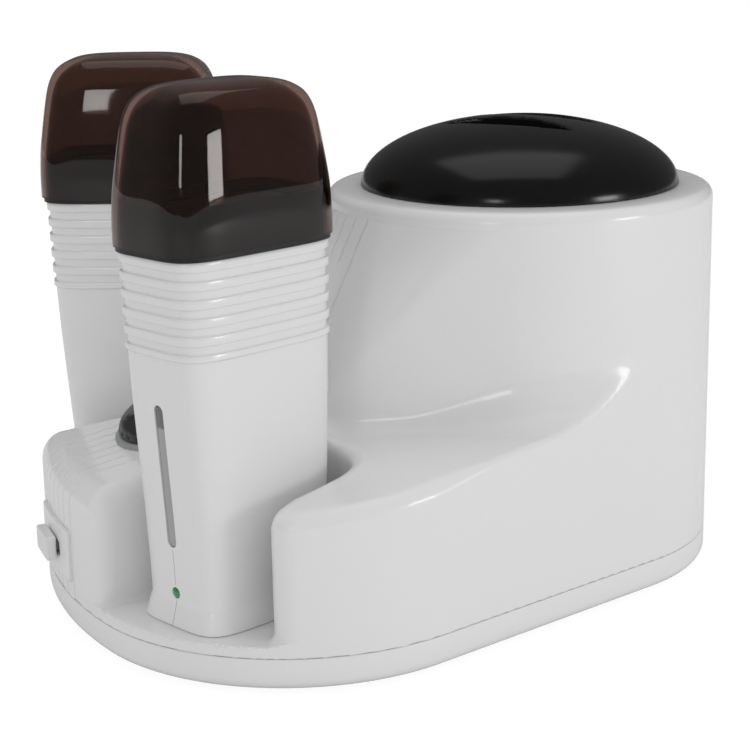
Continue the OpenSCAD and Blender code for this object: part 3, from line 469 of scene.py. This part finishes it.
def turned(profile, n=192, centre=(0, 0)):
    """a closed profile of (radius, height) turned round the upright axis"""
    a = np.linspace(0, 2 * math.pi, n + 1)[:-1]
    return lofted([np.column_stack([centre[0] + r * np.cos(a), centre[1] + r * np.sin(a), np.full(n, z)])
                   for r, z in profile], ends="loop")


def bend(cr, cz, r, a0, a1, n=8):
    """points of (radius, height) along an arc round (cr, cz)"""
    return [(cr + r * math.cos(a), cz + r * math.sin(a)) for a in np.radians(np.linspace(a0, a1, n))]


ring_profile = ([(58.0, 148.6), (69.6, 148.6), (69.6, 150.02), (77.2, 150.02), (77.3, 148.9), (77.99, 148.9)]
                + bend(73.6, 151.4, 4.39, 0, 80, 10)
                + [(71.0, 155.93), (65.8, 155.97), (62.6, 155.97), (62.2, 155.7), (62.1, 152.1), (58.3, 151.9),
                   (58.0, 151.6)])
rim = piece("rim_ring_skin", *turned(ring_profile), white, "base", "housing_white", smooth=28)
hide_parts("rim_ring")
bare_alu = moulded("spun_aluminium", (0.72, 0.73, 0.74), rough=0.3, metal=1.0, grain=0.05, scale=90)
mica = moulded("heater_mica", (0.5, 0.44, 0.33), rough=0.55, shift=0.12, grain=0.08)
finish_nodes(screw_steel, "rim_screws")
finish_nodes(bare_alu, "heater_well", "thermal_cutout")
finish_nodes(mica, "band_heater")
pot_profile = ([(0.02, 79.5), (52, 79.5)] + bend(52.5, 82.5, 3, -80, 0, 7)
               + [(55.5, 151.9), (61.3, 151.95), (61.5, 152.2), (61.5, 153.2), (61.2, 153.5), (54.5, 153.5),
                  (54.1, 153.1)]
               + bend(51.1, 83.9, 3, 0, -85, 7) + [(0.02, 80.9)])
pot = piece("wax_pot_spun", *turned(pot_profile, 160), bare_alu, "pot", "bare_aluminium")
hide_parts("wax_pot")

# ---- lid ------------------------------------------------------------------------
# A gloss black dome with two deep finger pockets and a grip bar between them; a
# skirt under it sits inside the pot's rim.
turn_lid = math.radians(-50.7)
LID_Z, LID_R, LID_RISE = 156.0, 64.4, 27.0
POCKET_LONG, POCKET_WIDE, POCKET_OFF = 29.0, 7.6, 12.0


def lid(x, y, z):
    z = z - LID_Z
    r = np.hypot(x, y)
    k = np.maximum(np.hypot(r / LID_R, z / LID_RISE), 1e-3)
    dome = (k - 1) / (np.hypot(r / LID_R ** 2, z / LID_RISE ** 2) / k)
    a = math.cos(turn_lid) * x + math.sin(turn_lid) * y
    b = np.abs(-math.sin(turn_lid) * x + math.cos(turn_lid) * y) - POCKET_OFF
    rr = (POCKET_LONG ** 2 + POCKET_WIDE ** 2) / (2 * POCKET_WIDE)
    lens = np.maximum(np.hypot(a, b - (rr - POCKET_WIDE)) - rr, np.hypot(a, b + (rr - POCKET_WIDE)) - rr)
    far = np.abs(a)
    floor = 12.5 + 8.0 * ease(far, 16.6, 18.4) + 3.2 * (np.maximum(far - 17.5, 0) / 11.5) ** 2
    pocket = meet(lens, floor - z, 1.2)
    form = meet(dome, -pocket, 0.9)
    hollow = meet(dome + 2.4, 2.2 - pocket, 1.0)
    form = np.maximum(form, -hollow)
    skirt = np.maximum(np.abs(r - 52.1) - 1.0, np.maximum(-z - 8.4, z - 9.5))
    web = np.maximum(np.maximum(np.abs(z - 8) - 1, r - 59.5), 52 - r)
    return np.minimum(np.minimum(np.maximum(form, 0.03 - z), skirt), web)


lid_step = 1.15
span = np.arange(-65.6, 65.7, lid_step)
rise = np.concatenate([np.arange(-9.3, -0.6, lid_step), [-0.35, 0.25, 0.9], np.arange(1.9, 28.4, lid_step)])
pts, faces, normals = skin_of(lid, span, span, LID_Z + rise)
lid_black = moulded("lid_black", (0.006, 0.006, 0.006), rough=0.2, shift=0.004, grain=0.012, spread=0.03)
cover = piece("pot_lid_gloss", pts, faces, lid_black, "lid", "lid_black", normals=normals.tolist())
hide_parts("pot_lid")

# ---- temperature knob and slide switch ------------------------------------------
# The console carries a black fluted knob on a grey flange, over the thermostat,
# and a ribbed white slide switch on a curved plate in its end.
tilt = math.atan(0.2)
knob_at = np.array([-145.4, 0, 62 + 0.2 * (191.5 - 145.4)])


def on_console(p):
    """console coordinates, x along its slope and z square to it, to the heater's"""
    p = np.asarray(p, float)
    return np.column_stack([p[:, 0] * math.cos(tilt) - p[:, 2] * math.sin(tilt), p[:, 1],
                            p[:, 0] * math.sin(tilt) + p[:, 2] * math.cos(tilt)]) + knob_at


def knob(x, y, z):
    r = np.hypot(x, y)
    dome = np.hypot(np.maximum(r - 14, 0) / 11.0, np.maximum(z - 2.4, 0) / 8.6) - 1
    form = np.maximum(np.maximum(dome * 8.5, r - 25), 2.15 - z)
    turn = np.arctan2(y, x)
    part = 2 * math.pi / 28
    turn = (turn + math.radians(-4) + part / 2) % part - part / 2
    flute = np.hypot(r * np.cos(turn) - 25.9, r * np.sin(turn)) - 1.6
    form = meet(form, -np.maximum(flute, 3.4 - z), 0.3)
    bar = meet(meet(np.abs(y) - 3.4, np.abs(x) - 21, 2.5), z - 12.3 + 0.006 * x * x, 1.2)
    form = join(form, np.maximum(bar, 4 - z), 1.2)
    form = np.minimum(form, np.maximum(r - 10, np.maximum(1.15 - z, z - 3)))
    return form


grey = moulded("bezel_grey", (0.32, 0.33, 0.34), rough=0.35, grain=0.03)
knob_mat = moulded("knob_black", (0.03, 0.03, 0.032), rough=0.32, shift=0.008, grain=0.06)
knob_step = 0.55
span = np.arange(-26, 26.1, knob_step)
pts, faces, normals = skin_of(knob, span, span, np.arange(0.4, 13.6, knob_step))
lean = np.array([[math.cos(tilt), 0, -math.sin(tilt)], [0, 1, 0], [math.sin(tilt), 0, math.cos(tilt)]])
dial = piece("knob_fluted", on_console(pts), faces, knob_mat, "knob", "knob_black",
             normals=(normals @ lean.T).tolist())
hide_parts("temperature_knob")
flange = turned([(4.2, -1.15), (26.9, -1.15), (27.0, 0.6)] + bend(25.8, 0.65, 1.2, 10, 90, 6)
                + [(24.4, 1.8), (24.1, 1.5), (23.9, 0.85), (4.2, 0.85)], 160)
flange = piece("knob_flange", on_console(flange[0]), flange[1], grey, "base", "bezel_grey")
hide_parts("knob_bezel")
inner_black = moulded("inner_black", (0.025, 0.025, 0.026), rough=0.42, grain=0.05)
finish_nodes(screw_steel, "thermostat", "thermostat_shaft")
finish_nodes(inner_black, "switch_body")


def switch_plate(x, y, z):
    out = np.hypot(x, y)
    side = out * np.arctan2(np.abs(y), -x)
    form = meet(meet(side - 21.2, np.abs(z - 30.75) - 10.1, 1.2), meet(out - 199.45, 197.5 - out, 0.4), 0.7)
    slot = np.maximum(side - 10.3, np.abs(z - 30.5) - 2.8)
    return meet(form, -slot, 0.3)


pts, faces, normals = skin_of(switch_plate, np.arange(-200.3, -195.2, 0.35), np.arange(-23, 23.1, 0.7),
                              np.arange(19.6, 42.3, 0.6))
plate = piece("switch_plate_skin", pts, faces, white, "base", "housing_white", normals=normals.tolist())
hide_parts("switch_plate")


def switch_block(x, y, z):
    block = meet(meet(np.abs(y) - 9, np.abs(z - 30.5) - 4.7, 1.0), np.abs(x + 201.9) - 2.05, 0.7)
    stem = np.maximum(np.maximum(np.abs(y) - 3.8, np.abs(z - 30.5) - 2.3), np.abs(x + 196) - 4)
    return np.minimum(block, stem)


pts, faces, normals = skin_of(switch_block, np.arange(-204.6, -191, 0.5), np.arange(-10, 10.1, 0.5),
                              np.arange(25, 36.1, 0.5))
slider = piece("switch_slider_block", pts, faces, white, None, None, normals=normals.tolist())
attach(slider, "slider")

# the block's thumb ridges: one bar repeated along a line
ridges_tree = bpy.data.node_groups.new("thumb_ridges", "GeometryNodeTree")
face = ridges_tree.interface
face.new_socket("Geometry", in_out="INPUT", socket_type="NodeSocketGeometry")
sockets = {}
for label, kind, value in (("Count", "NodeSocketInt", 7), ("Pitch", "NodeSocketFloat", 0.0021),
                           ("Width", "NodeSocketFloat", 0.0008), ("Depth", "NodeSocketFloat", 0.0008),
                           ("Height", "NodeSocketFloat", 0.0074)):
    s = face.new_socket(label, in_out="INPUT", socket_type=kind)
    s.default_value = value
    sockets[label] = s.identifier
s = face.new_socket("Material", in_out="INPUT", socket_type="NodeSocketMaterial")
sockets["Material"] = s.identifier
face.new_socket("Geometry", in_out="OUTPUT", socket_type="NodeSocketGeometry")
gn, gl = ridges_tree.nodes, ridges_tree.links
gi, go = gn.new("NodeGroupInput"), gn.new("NodeGroupOutput")
size = gn.new("ShaderNodeCombineXYZ")
gl.new(gi.outputs["Depth"], size.inputs[0])
gl.new(gi.outputs["Width"], size.inputs[1])
gl.new(gi.outputs["Height"], size.inputs[2])
bar = gn.new("GeometryNodeMeshCube")
gl.new(size.outputs[0], bar.inputs["Size"])
half = gn.new("ShaderNodeMath")
half.operation = "MULTIPLY_ADD"
half.inputs[1].default_value = -0.5
half.inputs[2].default_value = 0.5
gl.new(gi.outputs["Count"], half.inputs[0])
first = gn.new("ShaderNodeMath")
first.operation = "MULTIPLY"
gl.new(half.outputs[0], first.inputs[0])
gl.new(gi.outputs["Pitch"], first.inputs[1])
start, gap = gn.new("ShaderNodeCombineXYZ"), gn.new("ShaderNodeCombineXYZ")
gl.new(first.outputs[0], start.inputs[1])
gl.new(gi.outputs["Pitch"], gap.inputs[1])
line = gn.new("GeometryNodeMeshLine")
gl.new(gi.outputs["Count"], line.inputs["Count"])
gl.new(start.outputs[0], line.inputs["Start Location"])
gl.new(gap.outputs[0], line.inputs["Offset"])
place = gn.new("GeometryNodeInstanceOnPoints")
gl.new(line.outputs[0], place.inputs["Points"])
gl.new(bar.outputs["Mesh"], place.inputs["Instance"])
real, paint = gn.new("GeometryNodeRealizeInstances"), gn.new("GeometryNodeSetMaterial")
gl.new(place.outputs[0], real.inputs[0])
gl.new(real.outputs[0], paint.inputs["Geometry"])
gl.new(gi.outputs["Material"], paint.inputs["Material"])
gl.new(paint.outputs[0], go.inputs[0])


def ridge_row(name, at, mat, **sizes):
    """a row of ridges along y, centred at a point in millimetres about the pot's axis"""
    seed = bpy.data.objects.new(name, bpy.data.meshes.new(name))
    bpy.context.scene.collection.objects.link(seed)
    row = seed.modifiers.new("ridges", "NODES")
    row.node_group = ridges_tree
    for key, value in sizes.items():
        row[sockets[key]] = value
    row[sockets["Material"]] = mat
    made = bpy.data.meshes.new_from_object(seed.evaluated_get(bpy.context.evaluated_depsgraph_get()))
    seed.modifiers.clear()
    seed.data = made
    made.transform(Matrix.Translation((at[0] * 0.001 + 0.063, at[1] * 0.001, at[2] * 0.001)))
    return seed


thumb = ridge_row("switch_ridges", (-203.59, 0, 30.5), white,
                  Count=7, Pitch=0.0021, Width=0.0008, Depth=0.0008, Height=0.0074)
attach(thumb, "slider")
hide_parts("switch_slider")

# ---- power inlet and control board ----------------------------------------------
# A black appliance socket with two pins sits low in the back of the tower, and a
# small board with its coil, relay and capacitor stands under the pot.
contact_brass = moulded("contact_brass", (0.7, 0.5, 0.2), rough=0.28, metal=1.0, grain=0.04)
finish_nodes(inner_black, "power_inlet")
finish_nodes(contact_brass, "inlet_pins")
finish_nodes(moulded("board_green", (0.03, 0.16, 0.07), rough=0.4, shift=0.05, grain=0.1), "control_board")
finish_nodes(moulded("board_parts", (0.42, 0.3, 0.1), rough=0.45, shift=0.1, grain=0.06), "board_parts")

# ---- roll-on heaters ------------------------------------------------------------
# Each is a white two-shell grip, wide oval in section, with five grooves round its
# top, a level window and a pilot lamp down its narrow face; inside are the wax
# chamber, its heater plate and the contact plug. A black neck takes the roller.
HALF_TURN = math.radians(180 + 22.9)


def in_dock(p, s):
    """roll-on coordinates (x outwards along its long axis) to the heater's; s = -1 is the far one"""
    p = np.asarray(p, float)
    x = 156.2 + p[:, 0]
    return np.column_stack([x * math.cos(HALF_TURN) - p[:, 1] * math.sin(HALF_TURN),
                            s * (x * math.sin(HALF_TURN) + p[:, 1] * math.cos(HALF_TURN)), p[:, 2]])


def oblong(front, rear, wide, z, power=4.9, n=220):
    """an even ring of points round a bowed oblong with different front and rear lengths"""
    t = np.linspace(0, 2 * math.pi, 6001)
    x = np.sign(np.cos(t)) * np.abs(np.cos(t)) ** (2 / power)
    y = wide * np.sign(np.sin(t)) * np.abs(np.sin(t)) ** (2 / power)
    x = np.where(x > 0, x * front, x * rear)
    run = np.concatenate([[0], np.cumsum(np.hypot(np.diff(x), np.diff(y)))])
    at = np.linspace(0, run[-1], n + 1)[:-1]
    return np.column_stack([np.interp(at, run, x), np.interp(at, run, y), np.full(n, z)])


GRIP_HALVES = {
    "front": [(18, 31.0), (19, 30.8), (25.2, 28.9), (26.6, 28.5), (40, 28.9), (60, 30.0), (80, 31.4),
              (100, 32.7), (117.2, 33.5), (117.9, 33.6), (118.6, 34.3), (153, 35.4)],
    "rear": [(18, 33.2), (19, 33.0), (25.2, 31.6), (26.6, 31.2), (60, 32.6), (100, 33.9), (117.2, 34.3),
             (117.9, 34.4), (118.6, 35.0), (153, 35.5)],
    "wide": [(18, 23.0), (19, 22.8), (25.2, 21.6), (26.6, 21.2), (60, 21.6), (100, 22.3), (117.2, 22.5),
             (117.9, 22.5), (118.6, 23.0), (153, 23.1)]}


def grip_half(z, what):
    """how far the grip reaches from its axis at a height: to its front, its rear or its sides"""
    heights, reaches = zip(*GRIP_HALVES[what])
    return float(np.interp(z, heights, reaches))


def grip_ring(z, ins=0.0):
    return oblong(grip_half(z, "front") - ins, grip_half(z, "rear") - ins, grip_half(z, "wide") - ins, z)


outside = [(18.08, 0.6), (18.2, 0.25), (18.5, 0.0)] + [(z, 0) for z in (21, 24, 25.2, 25.9, 26.6)]
outside += [(z, 0) for z in np.linspace(30, 116.5, 24)]
outside += [(z, 0) for z in (117.2, 117.6, 117.9, 118.3, 118.6)]
first_groove, groove_gap = 120.6, 6.4
for i in range(5):
    z0 = first_groove + groove_gap * i
    outside += [(z0 - 0.35, 0), (z0 - 0.1, 0.1), (z0 + 0.02, 0.35), (z0 + 0.1, 0.75), (z0 + 0.3, 0.9),
                (z0 + 3.0, 0.9), (z0 + 3.2, 0.75), (z0 + 3.28, 0.35), (z0 + 3.4, 0.1), (z0 + 3.65, 0)]
outside += [(151.5, 0), (152.5, 0.05), (152.85, 0.25), (152.98, 0.6)]
inside = [(152.98, 3.0), (118, 3.0), (60, 2.0), (27.5, 2.0), (18.08, 2.0)]

white_grip = moulded("white_grip", (0.82, 0.82, 0.82), rough=0.2, shift=0.012, grain=0.01, coat=0.3)
neck_black = moulded("neck_black", (0.004, 0.004, 0.004), rough=0.42, grain=0.03)
lamp_green = moulded("lamp_green", (0.02, 0.3, 0.07), rough=0.12, shift=0.02, grain=0.0, coat=1.0)


def window_painted_shade(mat):
    """the window's grey is painted darker over its top tenth: painted shade of the deeper opening behind the
    lens
    """
    nodes, links = mat.node_tree.nodes, mat.node_tree.links
    shader = nodes["Principled BSDF"]
    old = shader.inputs["Base Color"].links[0].from_socket
    split = nodes.new("ShaderNodeSeparateXYZ")
    where = next(n for n in nodes if n.type == "TEX_COORD")
    links.new(where.outputs["Object"], split.inputs[0])
    band = nodes.new("ShaderNodeMapRange")
    band.inputs["From Min"].default_value = 0.0915
    band.inputs["From Max"].default_value = 0.0925
    links.new(split.outputs["Z"], band.inputs["Value"])
    tint = nodes.new("ShaderNodeMix")
    tint.data_type = "RGBA"
    # painted shade: the dark grey laid over the window's top tenth
    tint.inputs[7].default_value = (0.13, 0.13, 0.13, 1)
    links.new(band.outputs[0], tint.inputs[0])
    links.new(old, tint.inputs[6])
    links.new(tint.outputs[2], shader.inputs["Base Color"])
    return mat


window_grey = window_painted_shade(moulded("window_grey", (0.36, 0.36, 0.36), rough=0.16, shift=0.02, grain=0.0,
                                    coat=0.6))
WINDOW_TOP, WINDOW_FOOT, WINDOW_R = 98.1, 49.9, 2.42
LAMP_Z, LAMP_HOLE_R = 30.2, 2.1


def slot_cutter(s):
    """the window's opening with round ends, the lamp's hole and the parting line below"""
    a = np.radians(np.arange(0, 181, 9))
    ring = [(WINDOW_R * math.cos(t), WINDOW_TOP + WINDOW_R * math.sin(t)) for t in a]
    ring += [(-WINDOW_R * math.cos(t), WINDOW_FOOT - WINDOW_R * math.sin(t)) for t in a]
    ring = np.array(ring)
    p, q = lofted([np.column_stack([np.full(len(ring), x), ring[:, 0], ring[:, 1]]) for x in (27.4, 45)])
    a = np.radians(np.arange(0, 360, 10))
    p2, q2 = lofted([np.column_stack([np.full(36, x), LAMP_HOLE_R * np.cos(a), LAMP_Z + LAMP_HOLE_R * np.sin(a)])
                     for x in (26.0, 45)])
    pts = np.concatenate([p, p2])
    quads = q + [[v + len(p) for v in f] for f in q2]
    half_gap = 0.14
    for z0, z1 in ((33.2, 46.4), (17, 27.2)):
        quads += box_quads(len(pts))
        corners = ((-half_gap, z0), (half_gap, z0), (half_gap, z1), (-half_gap, z1))
        pts = np.concatenate([pts, [(x, y, z) for x in (27.6, 45) for y, z in corners]])
    if s < 0:
        quads = [f[::-1] for f in quads]
    return piece("slot_cutter", in_dock(pts, s), quads, white_grip, None, None)


for side_name, s in (("near", 1), ("far", -1)):
    rings = [in_dock(grip_ring(z, ins), s) for z, ins in outside + inside]
    pts, quads = lofted(rings, ends="loop")
    if s < 0:
        quads = [f[::-1] for f in quads]
    grip = piece(side_name + "_grip", pts, quads, white_grip, None, None, smooth=40)
    carve(grip, slot_cutter(s))
    body = "rollon_" + side_name
    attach(grip, body)
    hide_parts(side_name + "_shell_left", side_name + "_shell_right")
    # window lens: its outer face sits a little below the grip's own
    a = np.radians(np.arange(0, 181, 9))
    ring = [(math.cos(t), WINDOW_TOP, math.sin(t)) for t in a]
    ring += [(-math.cos(t), WINDOW_FOOT, -math.sin(t)) for t in a]
    rows = []
    for reach, deep in ((2.25, -3.0), (2.25, -0.75), (2.1, -0.5), (1.7, -0.4)):
        bow = deep - 0.004 * reach * reach
        rows.append(np.array([(grip_half(c + reach * d, "front") + bow, reach * w, c + reach * d)
                              for w, c, d in ring]))
    pts, quads = lofted(rows)
    if s < 0:
        quads = [f[::-1] for f in quads]
    lens = piece(side_name + "_window_lens", in_dock(pts, s), quads, window_grey, body, "window_grey")
    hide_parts(side_name + "_window")
    # pilot lamp: a small green dome set in its hole in the grip
    a = np.radians(np.arange(0, 360, 10))
    front = grip_half(LAMP_Z, "front")
    rows = [np.column_stack([np.full(36, front + d), r * np.cos(a), LAMP_Z + r * np.sin(a)])
            for r, d in ((1.9, -3.5), (1.9, -0.5), (1.75, 0.0), (1.4, 0.4), (0.8, 0.7), (0.3, 0.78))]
    pts, quads = lofted(rows)
    if s < 0:
        quads = [f[::-1] for f in quads]
    bulb = piece(side_name + "_pilot_lamp", in_dock(pts, s), quads, lamp_green, body, "lamp_green", smooth=60)
    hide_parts(side_name + "_lamp")
    finish_nodes(neck_black, side_name + "_neck")
    finish_nodes(bare_alu, side_name + "_chamber")
    finish_nodes(screw_steel, side_name + "_heater", side_name + "_screws")
    finish_nodes(inner_black, side_name + "_plug", side_name + "_dock_block")
    finish_nodes(contact_brass, side_name + "_contacts", side_name + "_dock_pins")

# ---- caps -----------------------------------------------------------------------
# Clear smoke-brown covers, moulded with a soft crown, stand over the necks on the
# collar and pull straight off.
smoke = bpy.data.materials.new("cap_smoke")
smoke.use_nodes = True
sn, sl = smoke.node_tree.nodes, smoke.node_tree.links
tinted = sn["Principled BSDF"]
tinted.inputs["Transmission Weight"].default_value = 1.0
tinted.inputs["IOR"].default_value = 1.49
where = sn.new("ShaderNodeTexCoord")
swirl = sn.new("ShaderNodeTexNoise")
swirl.inputs["Scale"].default_value = 60
sl.new(where.outputs["Object"], swirl.inputs["Vector"])
stain = sn.new("ShaderNodeMix")
stain.data_type = "RGBA"
stain.inputs[6].default_value = (0.16, 0.095, 0.075, 1)
stain.inputs[7].default_value = (0.19, 0.115, 0.092, 1)
sl.new(swirl.outputs["Fac"], stain.inputs[0])
sl.new(stain.outputs[2], tinted.inputs["Base Color"])
clear = sn.new("ShaderNodeMapRange")
clear.inputs["To Min"].default_value = 0.02
clear.inputs["To Max"].default_value = 0.05
sl.new(swirl.outputs["Fac"], clear.inputs["Value"])
sl.new(clear.outputs[0], tinted.inputs["Roughness"])

CAP_LONG, CAP_WIDE, CAP_WALL = 37.3, 24.9, 1.6
# height, and how far the cap's side is drawn in there
knots = np.array([(154.65, 0.35), (154.9, 0.08), (155.4, 0), (162, 0.0), (168, 0.25), (174, 0.7), (180, 1.5),
                  (186, 2.4), (192, 3.4), (197, 4.4), (201, 5.7), (204.5, 7.7), (207, 10.6), (208.8, 14.6),
                  (209.8, 20), (210.2, 27), (210.25, 33)])


def cap_rings(ins):
    """the cap's rings from its lip to its crown, on a smooth curve through the knots, drawn in by ins"""
    rows = []
    for i in range(len(knots) - 1):
        p0, p1, p2, p3 = (knots[min(max(k, 0), len(knots) - 1)] for k in (i - 1, i, i + 1, i + 2))
        for t in np.linspace(0, 1, 5)[:-1]:
            rows.append(0.5 * (2 * p1 + (p2 - p0) * t + (2 * p0 - 5 * p1 + 4 * p2 - p3) * t * t
                               + (3 * p1 - p0 - 3 * p2 + p3) * t ** 3))
    rows.append(knots[-1])
    out = []
    for z, draw in rows:
        a = max(CAP_LONG - draw - ins, 1.2)
        b = CAP_WIDE - draw * 0.72 - ins
        if draw >= 20:
            b = (CAP_WIDE - 14.4 - ins) * (CAP_LONG - draw - ins) / max(17.3 - ins, 1)
        b = max(b, 0.8)
        drop = ins if z > 160 else ins * (z - 154.65) / 5.35
        out.append(oblong(a, a, b, z - drop, power=4.4 - 1.2 * min(draw / 30, 1)))
    return out


for side_name, s in (("near", 1), ("far", -1)):
    outer_rows = cap_rings(0.0)
    inner_rows = cap_rings(CAP_WALL)
    rows = [in_dock(r, s) for r in outer_rows]
    back_rows = [in_dock(r, s) for r in inner_rows[::-1]]
    n = len(rows[0])
    pts = np.concatenate(rows + back_rows + [rows[-1].mean(0)[None], back_rows[0].mean(0)[None]])
    quads = []
    i = np.arange(n)
    j = (i + 1) % n
    m = len(rows)
    for r in range(2 * m - 1):
        if r == m - 1:
            continue
        quads += np.stack([r * n + i, r * n + j, (r + 1) * n + j, (r + 1) * n + i], 1).tolist()
    quads += np.stack([(2 * m - 1) * n + i, (2 * m - 1) * n + j, j, i], 1).tolist()
    quads += [[(m - 1) * n + int(a), (m - 1) * n + int(b), 2 * m * n] for a, b in zip(i, j)]
    quads += [[m * n + int(b), m * n + int(a), 2 * m * n + 1] for a, b in zip(i, j)]
    if s < 0:
        quads = [f[::-1] for f in quads]
    cap = piece(side_name + "_cap_clear", pts, quads, smoke, "cap_" + side_name, "cap_smoke", smooth=40)
    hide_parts(side_name + "_cap")
